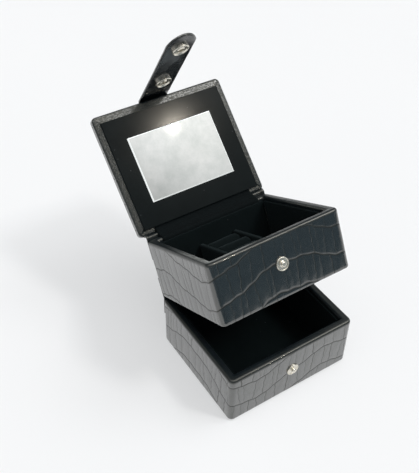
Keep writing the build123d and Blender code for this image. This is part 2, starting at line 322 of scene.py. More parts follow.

# %% [markdown]
# ## Metal and glass
# The snaps are nickel plate with a warm cast and fine polishing marks. The mirror is glass that reflects
# with hardly any tint, and its ground edge is frosted and given a painted glow.

# %% Metal and glass finishes
nickel, shader, place = new_finish("nickel_plate", Metallic=1.0)
polish = noise(place, 900.0, 4.0, 0.7)
vary(
    shader,
    Base_Color=ramp(polish, (0.2, (0.66, 0.625, 0.54)), (0.8, (0.80, 0.765, 0.68))),
    Roughness=0.2 + polish * 0.12,
    Normal=bump(place, polish, 0.06, 0.04 * MM),
)

mirror_glass, shader, place = new_finish("silvered_glass", Metallic=1.0)
haze = noise(place, 75.0, 5.0, 0.65)
vary(
    shader,
    Base_Color=ramp(haze, (0.3, (0.75, 0.785, 0.765)), (0.7, (0.93, 0.945, 0.93))),
    Roughness=0.004 + haze * 0.012,
)

# The edge's emission is a painted glow that stands in for a bright reflection; the glass is no lamp.
glass_edge_with_painted_glow, shader, place = new_finish("ground_glass_edge_painted_glow", Specular_IOR_Level=0.7, Emission_Strength=0.4)
frost = noise(place, 800.0)
vary(
    shader,
    Base_Color=ramp(frost, (0.2, (0.70, 0.74, 0.73)), (0.8, (0.86, 0.88, 0.87))),
    Roughness=0.2 + frost * 0.2,
    Emission_Color=ramp(frost, (0.2, (0.9, 0.95, 0.93)), (0.8, WHITE)),
)
print("made", nickel.name, mirror_glass.name, glass_edge_with_painted_glow.name)

# %% [markdown]
# ## Plain sheets
# The strap's lining is a smooth black skin. The tape and the underside cloth are flat black cloths with a
# weave. Board and foam hide inside the walls and are finished simply, in the same way. A table then gives
# the finish of each slot in the record.

# %% Sheet finishes
strap_skin, shader, place = new_finish("strap_lining_skin", Coat_Roughness=0.16, Coat_IOR=1.55)
folds, grain = noise(place, 110.0), noise(place, 1300.0, 2.0)
vary(
    shader,
    Base_Color=ramp(folds, (0.2, (0.004, 0.005, 0.006)), (0.8, (0.014, 0.016, 0.018))),
    Roughness=0.2 + folds * 0.15,
    Coat_Weight=0.6 + grain * 0.3,
    Normal=bump(place, grain * 0.5 + folds * 0.4, 0.3, 0.3 * MM),
)


def cloth_finish(name, dark, light, scale, rough, lift):
    """Flat woven or grained sheet: crossed waves of threads with a little unevenness."""
    material, shader, place = new_finish(name, Specular_IOR_Level=0.12)
    across, along = (
        place.node("ShaderNodeTexWave", {"bands_direction": way},
                   {"Vector": place, "Scale": scale, "Distortion": 0.6}, "Fac") for way in "XY")
    weave, uneven = across * along, noise(place, 160.0)
    vary(
        shader,
        Base_Color=ramp(weave * 0.5 + uneven * 0.5, (0.2, dark), (0.8, light)),
        Roughness=rough + uneven * 0.15,
        Normal=bump(place, weave, 0.5, lift),
    )
    return material


woven_tape = cloth_finish("woven_tape", (0.001, 0.0022, 0.0026), (0.004, 0.0068, 0.0075), 450.0, 0.8, 0.2 * MM)
base_cloth = cloth_finish("underside_cloth", (0.008, 0.008, 0.009), (0.024, 0.024, 0.025), 300.0, 0.8, 0.2 * MM)
fibreboard = cloth_finish("raw_fibreboard", (0.24, 0.21, 0.17), (0.36, 0.32, 0.27), 900.0, 0.8, 0.1 * MM)
foam = cloth_finish("open_foam", (0.20, 0.20, 0.20), (0.30, 0.30, 0.30), 1200.0, 0.9, 0.3 * MM)
by_slot = {"nickel": nickel, "mirror": mirror_glass, "board": fibreboard, "foam": foam, "velvet": velvet,
           "base_cloth": base_cloth, "woven_tape": woven_tape, "strap_lining": strap_skin, "croc_leather": leather}
print("finishes for", list(by_slot))

# %% [markdown]
# ## Wrapping flat sheets
# Each cover starts as a flat grid, the way the real leatherette starts as a flat sheet. Its points are then
# carried round the box: one direction of the sheet runs round the walls, the other runs from under the base,
# up the wall, over the rim and down inside. This keeps the pressed pattern unbroken round the corners.


# %% Sheet helpers
def new_piece(name, add, **options):
    """Adds a primitive with nothing else selected, and names it."""
    bpy.ops.object.select_all(action="DESELECT")
    add(**options)
    piece = bpy.context.object
    piece.name = piece.data.name = name
    return piece


def flat_grid(name, across, along):
    """A flat grid primitive whose points are read back as shares from 0 to 1 in each direction."""
    piece = new_piece(name, bpy.ops.mesh.primitive_grid_add, x_subdivisions=across, y_subdivisions=along, size=1)
    return piece, points_of(piece)[:, :2] + 0.5


def points_of(piece, what="co"):
    """Where each point of a mesh is, or its "normal", as rows of x, y and z."""
    values = np.empty(len(piece.data.vertices) * 3)
    piece.data.vertices.foreach_get(what, values)
    return values.reshape(-1, 3)


def set_points(piece, spots):
    """Writes points back to a mesh."""
    piece.data.vertices.foreach_set("co", np.ascontiguousarray(spots, dtype=np.float32).ravel())
    piece.data.update()


def store(piece, name, values, domain="POINT"):
    """Stores a value on each point or face, for its finish to read."""
    attribute = piece.data.attributes.new(name, "FLOAT", domain)
    attribute.data.foreach_set("value", np.asarray(values, dtype=np.float32))


print("sheet helpers ready")

# %% [markdown]
# Operators work on what is selected, so each of the next helpers first selects one piece and nothing else.

# %% Operator helpers
TURN_OUT = (bpy.ops.mesh.normals_make_consistent, {"inside": False})


def only(piece):
    """Selects one piece and makes it the active one."""
    bpy.ops.object.select_all(action="DESELECT")
    piece.select_set(True)
    bpy.context.view_layer.objects.active = piece


def edit(piece, *steps):
    """Runs edit-mode operators on the whole of one piece."""
    only(piece)
    bpy.ops.object.mode_set(mode="EDIT")
    bpy.ops.mesh.select_all(action="SELECT")
    for step, options in steps:
        step(**options)
    bpy.ops.object.mode_set(mode="OBJECT")


def edit_faces(piece, chosen, step, **options):
    """Runs one edit-mode operator on the faces that are chosen."""
    edit(piece, (bpy.ops.mesh.select_mode, {"type": "FACE"}), (bpy.ops.mesh.select_all, {"action": "DESELECT"}))
    for face in piece.data.polygons:
        face.select = bool(chosen(face))
    bpy.ops.object.mode_set(mode="EDIT")
    step(**options)
    bpy.ops.object.mode_set(mode="OBJECT")


def apply_modifier(piece, kind, **settings):
    """Adds a modifier and applies it at once."""
    only(piece)
    modifier = piece.modifiers.new(kind, kind)
    for key, value in settings.items():
        setattr(modifier, key, value)
    bpy.ops.object.modifier_apply(modifier=modifier.name)


def round_edges(piece, width, segments):
    """Rounds the sharp edges."""
    apply_modifier(piece, "BEVEL", width=width, segments=segments, limit_method="ANGLE",
                   angle_limit=math.radians(60))


def face_outwards(piece, merge=0.01 * MM):
    """Joins points that lie together and turns every face outwards."""
    edit(piece, (bpy.ops.mesh.remove_doubles, {"threshold": merge}), TURN_OUT)


def dress(piece, slot, pose, *replaced):
    """Gives a piece its finish, swings it open with its body and hides what it stands for."""
    piece.data.materials.append(by_slot[slot])
    piece.data.transform(pose)
    piece.data.update()
    only(piece)
    bpy.ops.object.shade_smooth()
    if replaced:
        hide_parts(*replaced)


print("operator helpers ready")

# %% [markdown]
# ## The pressed pattern
# The reptile pattern is rows of wide scales. Long creases run round the box in a slow wave and divide the
# rows, and short creases cross each row at uneven distances. A scale swells between its creases. The same
# few numbers make the pattern on every cover, with a seed and a phase for each.

# %% Pattern field
LONG_CREASE, LONG_DEPTH, SCALE_SWELL = 0.8 * MM, 0.07 * MM, 0.08 * MM
LONG_SHOULDER, SHORT_SHOULDER = 4 * MM, 2.4 * MM
CREASES, FIRST_CREASE = 120, -0.35
NARROWEST, WIDEST, LEAN, BOW, RIPPLE = 3.6, 11.0, 0.14, 1.6, 0.3 * MM
CORNER = 4 * MM
ROUND = 2 * (WIDTH + DEPTH) - (8 - 2 * math.pi) * CORNER
WOBBLES = ((0.9 * MM, 11, 2), (0.35 * MM, 36, 1))  # height, times round the tray, shift


def pressed_pattern(along, up, seed, base, rise, length, peak):
    """How far each point of a sheet moves, and the row and column of scales that it lies in."""
    draw = np.random.default_rng(seed)
    wave = rise * np.cos(2 * np.pi * (along - peak) / length)
    for height, times, shift in WOBBLES:
        wave += height * np.sin(2 * np.pi * along / (ROUND / times) + shift * seed)
    rows = (up - base - wave) / ROW_PITCH
    columns = np.zeros_like(along)
    row = np.floor(rows).astype(int)
    for number in range(row.min(), row.max() + 1):
        inside = row == number
        starts = np.cumsum(draw.uniform(NARROWEST, WIDEST, CREASES)) * MM + FIRST_CREASE
        lean = draw.uniform(-LEAN, LEAN, CREASES) * ROW_PITCH
        bow = draw.uniform(-BOW, BOW, CREASES) * MM
        middle = (rows[inside] - number - 0.5)[:, None]
        lines = starts + lean * middle + bow * (middle**2 - 0.1)
        lines += RIPPLE * np.sin(middle * 17 + np.arange(CREASES) * 2.4)
        lines.sort(axis=1)
        count = np.clip((lines <= along[inside, None]).sum(axis=1) - 1, 0, CREASES - 2)
        near = np.take_along_axis(lines, count[:, None], 1)[:, 0]
        far = np.take_along_axis(lines, count[:, None] + 1, 1)[:, 0]
        columns[inside] = count + np.clip((along[inside] - near) / np.maximum(far - near, 1e-6), 0, 1)
    long_way = ROW_PITCH * (0.5 - np.abs(rows - row - 0.5))
    short_way = COLUMN_PITCH * (0.5 - np.abs(columns - np.floor(columns) - 0.5))
    swell = 1 - np.exp(-((long_way / LONG_SHOULDER) ** 2))
    swell = swell * (1 - np.exp(-((short_way / SHORT_SHOULDER) ** 2)))
    move = SCALE_SWELL * (swell - 0.5) - LONG_DEPTH * np.exp(-((long_way / LONG_CREASE) ** 2))
    return move, rows, columns


def press(piece, pattern, pressed, tucks, tuck_depth):
    """Moves a sheet's points along their normals and stores the pattern on them."""
    move, rows, columns = pattern
    shift = (move * pressed - tuck_depth * tucks)[:, None]
    set_points(piece, points_of(piece) + points_of(piece, "normal") * shift)
    for name, values in (("rows", rows), ("columns", columns), ("pressed", pressed), ("tucks", tucks)):
        store(piece, name, values)


print("rows every", ROW_PITCH / MM, "mm")

# %% [markdown]
# ## Tray covers
# One sheet covers a tray. Its profile is walked in arc length, so that the grid is even over the rounded
# foot and rim. The ends of the sheet meet in the middle of the back, where the real seam is hidden by the
# hinge strip.

# %% Cover outline
HALF_X, HALF_Y, QUARTER = WIDTH / 2 - CORNER, DEPTH / 2 - CORNER, CORNER * math.pi / 2


def walk(steps, distance):
    """Follows a chain of (length, function of distance) steps and gives the point at each distance."""
    spots, begin = np.zeros((len(distance), 2)), 0.0
    for length, step in steps:
        inside = (distance >= begin - 1e-9) & (distance <= begin + length + 1e-6)
        spots[inside] = np.stack(step(distance[inside] - begin), axis=1)
        begin += length
    return spots


def bend(radius, step, turn=math.pi / 2):
    """A round step of a chain. Its point follows from the sine and cosine of how far it has turned."""
    return radius * turn, lambda d: step(np.sin(d / radius), np.cos(d / radius))


def length_of(steps):
    """The whole length of a chain of steps."""
    return sum(length for length, _ in steps)


def round_outline(share):
    """The line of corner centres round a tray, from the middle of its back, and the way each point faces."""
    corners = [(HALF_X, HALF_Y), (HALF_X, -HALF_Y), (-HALF_X, -HALF_Y), (-HALF_X, HALF_Y)]
    ends = np.cumsum([HALF_X, QUARTER, 2 * HALF_Y, QUARTER, 2 * HALF_X, QUARTER, 2 * HALF_Y, QUARTER, HALF_X])
    distance = share * ends[-1]
    place, facing = np.zeros((len(share), 2)), np.zeros((len(share), 2))
    begin = 0.0
    for number, end in enumerate(ends):
        inside = (distance >= begin - 1e-12) & (distance <= end + 1e-12)
        way = distance[inside] - begin
        angle = math.pi / 2 * (1 - (number + 1) // 2)
        if number % 2:
            turn_by = angle + math.pi / 2 - way / CORNER
            facing[inside] = np.stack([np.cos(turn_by), np.sin(turn_by)], axis=1)
            place[inside] = corners[number // 2]
        else:
            out = np.array([math.cos(angle), math.sin(angle)])
            ahead = np.array([out[1], -out[0]])
            start = np.array(corners[number // 2 - 1]) if number else np.array([0.0, HALF_Y])
            facing[inside] = out
            place[inside] = start + way[:, None] * ahead
        begin = end
    return place, facing


print("length round a tray", round(ROUND / MM, 1), "mm")

# %% [markdown]
# The profile is a chain of straight runs and quarter rounds. Each gives an inset from the wall and a height.

# %% Cover profile
FOOT, RIM_ROUND, BASE_CLOTH = 2 * MM, 2 * MM, 0.6 * MM
UNDER, INSIDE = 8 * MM, 9 * MM
WALL = TIER - BASE_CLOTH - FOOT - RIM_ROUND


def cover_profile():
    """Inset and height along the sheet, from under the base to inside the rim."""
    low, top = BASE_CLOTH, TIER - RIM_ROUND
    return [
        (UNDER - FOOT, lambda d: (UNDER - d, low + 0 * d)),
        bend(FOOT, lambda s, c: (FOOT - FOOT * s, low + FOOT - FOOT * c)),
        (WALL, lambda d: (0 * d, low + FOOT + d)),
        bend(RIM_ROUND, lambda s, c: (RIM_ROUND - RIM_ROUND * c, top + RIM_ROUND * s)),
        (RIM_WIDTH - 2 * RIM_ROUND, lambda d: (RIM_ROUND + d, TIER + 0 * d)),
        bend(RIM_ROUND, lambda s, c: (RIM_WIDTH - RIM_ROUND + RIM_ROUND * s, top + RIM_ROUND * c)),
        (INSIDE - RIM_ROUND, lambda d: (RIM_WIDTH + 0 * d, top - d)),
    ]


print("wall height", round(WALL / MM, 1), "mm")

# %% [markdown]
# The sheet is a grid of about three quarters of a millimetre, fine enough for the creases. Inside the tray
# the corners are tighter than outside, so the points there follow a smaller radius. The pattern fades out over
# the rim and inside it, where the leatherette is stretched flat and small tucks show instead.

# %% Tray covers
OPENING_ROUND = 1.2 * MM
GRID_ROUND, GRID_UP = 540, 91
COVER, FADE, PATTERN_TOP, PATTERN_INSET = 0.8 * MM, 2 * MM, TIER - 0.8 * MM, 3.5 * MM
TUCKS, TUCK_REACH, TUCK_HALF, TUCK_DEPTH = 70, 0.2, 0.4 * MM, 0.2 * MM
TUCK_INSET, TUCK_FADE, TUCK_DROP = 2.2 * MM, 1.5 * MM, 6 * MM


def sheet_place(spots):
    """Place round the tray and height of each point, measured along the sheet."""
    x, y = spots[:, 0], spots[:, 1]
    over_x, over_y = np.abs(x) - HALF_X, np.abs(y) - HALF_Y
    corner = (over_x > 0) & (over_y > 0)
    angle = np.arctan2(np.maximum(over_x, 0), np.maximum(over_y, 1e-9))
    near = np.where(corner, HALF_X + CORNER * angle, np.abs(x))
    side = HALF_X + QUARTER + (y + HALF_Y)
    back_way = 2 * HALF_X + 2 * QUARTER + 2 * HALF_Y
    way = np.where(corner | (over_y > over_x), np.where(y < 0, near, back_way - near), side)
    return way * np.where(x < 0, -1, 1), spots[:, 2]


def rim_tucks(seed, along, inset, up):
    """Small folds across the rim, from 0 to 1."""
    draw = np.random.default_rng(seed)
    tucks = np.zeros(len(along))
    for spot in draw.uniform(-TUCK_REACH, TUCK_REACH, TUCKS):
        tucks = np.maximum(tucks, np.exp(-(((along - spot) / TUCK_HALF) ** 2)) * draw.uniform(0.3, 1))
    return 0.6 * tucks * (np.clip((inset - TUCK_INSET) / TUCK_FADE, 0, 1) * (up > TIER - TUCK_DROP))


def tray_cover(name, wave, lift, pose, body):
    """One pressed sheet wrapped round a tray. The wave is the pattern's seed, base, rise, length and peak."""
    piece, shares = flat_grid(name, GRID_ROUND, GRID_UP)
    inset, height = walk(cover_profile(), shares[:, 1] * length_of(cover_profile())).T
    centre, facing = round_outline(shares[:, 0])
    arc = CORNER - np.minimum(inset, CORNER - OPENING_ROUND)
    extra = np.maximum(inset - (CORNER - OPENING_ROUND), 0)
    for axis, half in enumerate((HALF_X, HALF_Y)):
        centre[:, axis] *= (half - extra) / half
    set_points(piece, np.column_stack([centre + facing * arc[:, None], height]))
    face_outwards(piece)
    spots = points_of(piece)
    along, up = sheet_place(spots)
    inset = np.minimum(WIDTH / 2 - np.abs(spots[:, 0]), DEPTH / 2 - np.abs(spots[:, 1]))
    keep = np.clip((PATTERN_TOP - up) / FADE, 0, 1) * np.clip((PATTERN_INSET - inset) / FADE, 0, 1)
    tucks = rim_tucks(wave[0] + 50, along, inset, up)
    press(piece, pressed_pattern(along, up, *wave), keep, tucks, TUCK_DEPTH)
    apply_modifier(piece, "SOLIDIFY", thickness=COVER, offset=-1.0)
    lifted = pose @ Matrix.Translation((0, 0, lift))
    dress(piece, "croc_leather", lifted, name.replace("_dressed", ""))
    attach(piece, body)
    print(name, "faces", len(piece.data.polygons))


lower_wave = (11, 23 * MM, 8.5 * MM, ROUND / 3, -100 * MM)
upper_wave = (5, 18.7 * MM, 7.3 * MM, ROUND / 3, 0.0)
tray_cover("lower_cover_dressed", lower_wave, 0.0, lower_pose, "lower_tier")
tray_cover("upper_cover_dressed", upper_wave, UPPER, upper_pose, "upper_tier")

# %% [markdown]
# ## Lid cover
# The lid is a padded slab. Its sheet starts flat, lies over the top, turns down round the edges and is glued
# to the underside as a border. The corner squares of the sheet are gathered into the rounded corners, and on
# the underside each leaves a mitred fold.

# %% Lid cover
LID_WIDTH, LID_DEPTH, LID_MIDDLE = WIDTH + 2 * OVERHANG, DEPTH + OVERHANG, -OVERHANG / 2
LID_CORNER, TOP_ROUND, UNDER_ROUND, BORDER = 3.6 * MM, 2.4 * MM, 1 * MM, 9 * MM
LID_CROWN, BORDER_SLOPE, LID_GRID = 0.7 * MM, 0.14, (156, 138)
LEAST_TURN, MITRE_HALF, MITRE_START, MITRE_DEPTH = 0.5 * MM, 0.9 * MM, 0.8 * MM, 0.25 * MM
LID_COVER, LID_FADE = 0.7 * MM, 1.2 * MM
LID_WAVE = (23, 4 * MM, 6 * MM, 140 * MM, 30 * MM)


def lid_profile():
    """Reach past the flat top and drop below it, along the sheet."""
    thick = LID_HIGH - LID_LOW
    return [
        bend(TOP_ROUND, lambda s, c: (TOP_ROUND * s, TOP_ROUND * (1 - c))),
        (thick - TOP_ROUND - UNDER_ROUND, lambda d: (TOP_ROUND + 0 * d, TOP_ROUND + d)),
        bend(UNDER_ROUND, lambda s, c: (TOP_ROUND - UNDER_ROUND * (1 - c), thick - UNDER_ROUND + UNDER_ROUND * s)),
        (BORDER - UNDER_ROUND, lambda d: (TOP_ROUND - UNDER_ROUND - d, thick + 0 * d)),
    ]


def lid_sheet():
    """The flat sheet's own coordinates, and where each point goes on the lid."""
    piece, shares = flat_grid("lid_cover_dressed", *LID_GRID)
    beyond = length_of(lid_profile())
    flat_half = np.array([LID_WIDTH / 2 - TOP_ROUND, LID_DEPTH / 2 - TOP_ROUND])
    turn_radius = LID_CORNER - TOP_ROUND
    core = flat_half - turn_radius
    flat = (shares * 2 - 1) * (flat_half + beyond)
    inner = np.clip(flat, -core, core)
    out = flat - inner
    reach = np.abs(out).max(axis=1)
    facing = out / np.maximum(np.linalg.norm(out, axis=1), 1e-9)[:, None]
    past = np.maximum(reach - turn_radius, 0)
    profile = walk(lid_profile(), past)
    radial = np.where(past > 0, turn_radius + profile[:, 0], reach)
    extra = np.maximum(LEAST_TURN - radial, 0) * (past > 0)
    inner = inner * (1 - extra[:, None] / core)
    plan = inner + facing * np.where(past > 0, np.maximum(radial, LEAST_TURN), radial)[:, None]
    crown = LID_CROWN * np.prod(np.clip(1 - (plan / flat_half) ** 2, 0, 1), axis=1) * (past < TOP_ROUND)
    inwards = np.maximum(past - beyond + BORDER - UNDER_ROUND, 0) * (1 - np.clip(facing[:, 1], 0, 1))
    height = LID_HIGH - profile[:, 1] + crown - BORDER_SLOPE * inwards
    set_points(piece, np.column_stack([plan[:, 0], plan[:, 1] + LID_MIDDLE, height]))
    edit(piece, TURN_OUT)
    mitre = np.exp(-(((np.abs(out[:, 0]) - np.abs(out[:, 1])) / MITRE_HALF) ** 2))
    mitre *= (np.abs(out).min(axis=1) > MITRE_START) * np.clip((past - beyond + BORDER) / MM, 0, 1)
    return piece, flat, past, beyond, mitre


lid_cover, flat, past, beyond, mitre = lid_sheet()
keep = np.clip((beyond - BORDER - past) / LID_FADE, 0, 1)
press(lid_cover, pressed_pattern(flat[:, 0], flat[:, 1], *LID_WAVE), keep, mitre, MITRE_DEPTH)
store(lid_cover, "grained", 1 - keep)
apply_modifier(lid_cover, "SOLIDIFY", thickness=LID_COVER, offset=-1.0)
dress(lid_cover, "croc_leather", lid_pose, "lid_cover")
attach(lid_cover, "lid")
print("lid cover faces", len(lid_cover.data.polygons))

# %% [markdown]
# ## Strap
# The strap is sewn to the top of the lid, folds over the front edge and hangs down past both snaps. It is one
# sheet from root to tip, bent round the fold as it stands open. The tip is arched, so every column of the grid
# has its own length.

# %% Strap path
STRAP_HALF, STRAP_LEATHER, STRAP_ROOT, ROOT_ROUND = 12.5 * MM, 1.1 * MM, 24 * MM, 6 * MM
TIP_HEIGHT, TIP_RISE, TIP_CURL, CURL_FROM = 10.5 * MM, 9.5 * MM, 0.9 * MM, 23 * MM
WAIST, WAIST_AT = 0.7 * MM, 70 * MM
fold_middle = STRAP_FOLD + STRAP_LEATHER / 2
fold_turn = math.pi / 2 - opened["strap_fold"]
fold_length = fold_middle * fold_turn
fold_end = math.pi / 2 + fold_turn


def arch(x, half):
    """How far the arched tip reaches past the straight sides."""
    radius = (half**2 + TIP_RISE**2) / (2 * TIP_RISE)
    return np.sqrt(radius**2 - x**2) - (radius - TIP_RISE)


def curl(height):
    """How far the tip bends away from the box."""
    return TIP_CURL * (np.maximum(CURL_FROM - height, 0) / (CURL_FROM - TIP_HEIGHT)) ** 2


def waist(x, half, down):
    """How far the sides draw in, at a distance down the flap."""
    return WAIST * np.sin(np.clip(down / WAIST_AT, 0, 1) * math.pi / 2) * x / half


def root_round(x):
    """How far the rounded root end stays back at each distance from the middle."""
    past_corner = np.maximum(np.abs(x) - (STRAP_HALF - ROOT_ROUND), 0)
    return ROOT_ROUND - np.sqrt(ROOT_ROUND**2 - past_corner**2)


def strap_path():
    """Root, fold and flap as y and z with the strap as it stands on the lid."""
    over = LID_HIGH + STRAP_LEATHER / 2
    at_end = np.array([STRAP_Y + fold_middle * math.cos(fold_end), STRAP_Z + fold_middle * math.sin(fold_end)])
    down = np.array([-math.sin(fold_end), math.cos(fold_end)])
    return [
        (STRAP_ROOT, lambda d: (STRAP_Y + STRAP_ROOT - d, over + 0 * d)),
        bend(fold_middle, lambda s, c: (STRAP_Y - fold_middle * s, STRAP_Z + fold_middle * c), fold_turn),
        (STRAP_Z - TIP_HEIGHT, lambda d: (at_end[0] + down[0] * d, at_end[1] + down[1] * d)),
    ]


print("strap length", round(length_of(strap_path()) / MM, 1), "mm")

# %% [markdown]
# The grid follows that path. Its pattern runs along the strap, and the edges are rounded after the sheet gets
# its thickness.

# %% Strap
STRAP_WAVE = (31, -8 * MM, 3 * MM, 90 * MM, 10 * MM)
strap, shares = flat_grid("strap_dressed", 30, 150)
x = (shares[:, 0] * 2 - 1) * STRAP_HALF
flap_length = STRAP_Z - TIP_HEIGHT - TIP_RISE + arch(x, STRAP_HALF)
start = root_round(x)
distance = start + shares[:, 1] * (STRAP_ROOT + fold_length + flap_length - start)
path = walk(strap_path(), distance)
away = curl(STRAP_Z + STRAP_ROOT + fold_length - distance)
path = path + np.outer(away, (math.cos(fold_end), math.sin(fold_end)))
set_points(strap, np.column_stack([x - waist(x, STRAP_HALF, distance - STRAP_ROOT), path]))
edit(strap, TURN_OUT)
press(strap, pressed_pattern(distance, x, *STRAP_WAVE), np.ones(len(x)), np.zeros(len(x)), 0.0)
apply_modifier(strap, "SOLIDIFY", thickness=STRAP_LEATHER, offset=0.0)
round_edges(strap, 0.25 * MM, 2)
dress(strap, "croc_leather", lid_pose, "strap_root", "strap_flap")
fold_ends = [lid_pose @ Vector((0, *walk(strap_path(), np.array([STRAP_ROOT + share * fold_length]))[0]))
             for share in (0.0, 1.0)]
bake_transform(strap)
print("strap faces", len(strap.data.polygons))

# %% [markdown]
# The lining is a thinner skin on the inner side of the flap. It starts below the fold and stays a little
# inside the strap's edges.

# %% Strap lining
LINING_INSET, LINING_START, PUCKER = 0.6 * MM, 6 * MM, 0.06 * MM
lining_half = STRAP_HALF - LINING_INSET
strap_lining, shares = flat_grid("strap_lining_dressed", 26, 110)
x = (shares[:, 0] * 2 - 1) * lining_half
top = STRAP_Z - LINING_START
bottom = TIP_HEIGHT + LINING_INSET + TIP_RISE - arch(x, lining_half)
z = top + shares[:, 1] * (bottom - top)
lining_y = FRONT - STRAP_STAND - STRAP_LINING / 2
puckers = PUCKER * np.sin(z / (3.1 * MM)) * np.sin(x / (2.3 * MM))
set_points(strap_lining, np.column_stack(
    [x - waist(x, lining_half, STRAP_Z - z), lining_y + puckers - curl(z), z]))
apply_modifier(strap_lining, "SOLIDIFY", thickness=STRAP_LINING, offset=0.0)
round_edges(strap_lining, 0.2 * MM, 2)
face_outwards(strap_lining, 0.001 * MM)
dress(strap_lining, "strap_lining", strap_pose, "strap_lining")
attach(strap_lining, "strap")
print("strap lining", len(strap_lining.data.polygons), "faces")

# %% [markdown]
# ## Leather hinges
# The hinges are strips glued to both sides of a gap. Each strip is a narrow grid carried along a path: up the
# back of the tray below, round the hinge line and on along the piece that swings.

# %% Hinge strips
SPINE, SPINE_GLUE, SPINE_ROUND, SPINE_HALF = 0.8 * MM, 16 * MM, 1 * MM, WIDTH / 2 - 0.8 * MM


def hinge_strip(name, half, path, thickness, slot, pose):
    """A strip along a path in y and z, round its fold, placed with one pose."""
    lengths = np.concatenate([[0], np.cumsum(np.linalg.norm(np.diff(path, axis=0), axis=1))])
    piece, shares = flat_grid(name + "_dressed", 60, 90)
    way = shares[:, 1] * lengths[-1]
    spot = np.column_stack([np.interp(way, lengths, path[:, side]) for side in (0, 1)])
    ahead = np.gradient(path, lengths, axis=0)
    inwards = np.column_stack([np.interp(way, lengths, -ahead[:, 1]), np.interp(way, lengths, ahead[:, 0])])
    x = (shares[:, 0] * 2 - 1) * half
    past_corner = np.maximum(np.abs(x) - HALF_X, 0)
    spot += inwards * (CORNER - np.sqrt(CORNER**2 - past_corner**2))[:, None]
    set_points(piece, np.column_stack([x, spot]))
    apply_modifier(piece, "SOLIDIFY", thickness=thickness, offset=0.0)
    face_outwards(piece, 0.001 * MM)
    dress(piece, slot, pose, name)
    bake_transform(piece)
    print(name, "length", round(lengths[-1] / MM, 1), "mm")


def spine_path(axis_z, angle, above):
    """Straight up the back, round the hinge line, and straight on."""
    radius = SPINE_ROUND + SPINE / 2
    turns = math.pi - np.linspace(0, angle, 40)
    fold = np.column_stack([HINGE_Y + radius * np.cos(turns), axis_z + radius * np.sin(turns)])
    ahead = np.array([math.sin(angle), math.cos(angle)])
    return np.vstack([[fold[0, 0], axis_z - SPINE_GLUE], fold, fold[-1] + ahead * above]), fold[[0, -1]]


path, fold = spine_path(TIER_HINGE_Z, opened["tier_hinge"], SPINE_GLUE)
hinge_strip("tier_hinge_spine", SPINE_HALF, path, SPINE, "croc_leather", lower_pose)
path, fold = spine_path(LID_HINGE_Z, opened["lid_hinge"], LID_HIGH - TOP_ROUND - LID_HINGE_Z)
hinge_strip("lid_hinge_spine", SPINE_HALF, path, SPINE, "croc_leather", upper_pose)

# %% [markdown]
# A soft tape covers the lid's hinge from inside. It starts on the back wall above the lining, goes over the
# rim and across the fold, and ends on the lid's border. Cutting the corners of its route a few times makes
# the route round.

# %% Tape in the lid hinge
TAPE, TAPE_HALF, TAPE_LID_GLUE, TAPE_TAIL = 0.4 * MM, LID_WIDTH / 2 - 13 * MM, 1.6 * MM, 0.7 * MM
TAPE_DOWN, TAPE_BEND, TAPE_CREST = 3.2 * MM, 1.2 * MM, 2.4


def round_off(route, times):
    """Cuts the corners of a route again and again."""
    for _ in range(times):
        near, far = route[:-1] * 0.75 + route[1:] * 0.25, route[:-1] * 0.25 + route[1:] * 0.75
        middle = np.stack([near, far], axis=1).reshape(-1, 2)
        route = np.vstack([route[:1], middle[1:-1], route[-1:]])
    return route


def turned(spot, angle):
    """A point turned back about the hinge line."""
    y, z = spot[0] - HINGE_Y, spot[1] - LID_HINGE_Z
    c, s = math.cos(angle), math.sin(angle)
    return np.array([HINGE_Y + y * c + z * s, LID_HINGE_Z - y * s + z * c])


lid_open = opened["lid_hinge"]
wall_y = BACK - RIM_WIDTH - TAPE / 2
rim_end = np.array([BACK - RIM_ROUND, RIM + TAPE / 2])
lid_spot = np.array([BACK - UNDER_ROUND - TAPE_LID_GLUE / 2, LID_LOW - TAPE / 2])
lid_end = turned(lid_spot, lid_open)
lid_tail = turned(lid_spot - [TAPE_LID_GLUE + TAPE_TAIL, 0], lid_open)
chord = (lid_end - rim_end) / np.linalg.norm(lid_end - rim_end)
crest = np.array([HINGE_Y, LID_HINGE_Z]) + np.array([-chord[1], chord[0]]) * TAPE_CREST * MM
route = np.array([[wall_y, RIM - TAPE_DOWN], [wall_y, RIM - TAPE_BEND], [wall_y + TAPE_BEND, RIM + TAPE / 2],
                  rim_end, crest, lid_end, lid_tail])
hinge_strip("lid_hinge_ribbon", TAPE_HALF, round_off(route, 3), TAPE, "woven_tape", upper_pose)

# %% [markdown]
# ## Velvet linings
# Each lining is a thin board wrapped in velvet. A cube is cut into a grid, its outer cells are squeezed into
# the rounded edges, and a slow unevenness makes it soft. The size of each comes from its CAD node, read with
# the box shut.

# %% Soft boxes
CELLS, EDGE_CELLS, UNEVEN, LINING_ROUND = 18, 3, 0.12 * MM, 0.9 * MM


def shut_box(name, pose):
    """Lowest and highest corner of a CAD node with the box shut."""
    node = nodes[name]
    back_again = pose.inverted() @ node.matrix_world
    spots = points_of(node) @ np.array(back_again.to_3x3()).T + np.array(back_again.translation)
    return spots.min(axis=0), spots.max(axis=0)


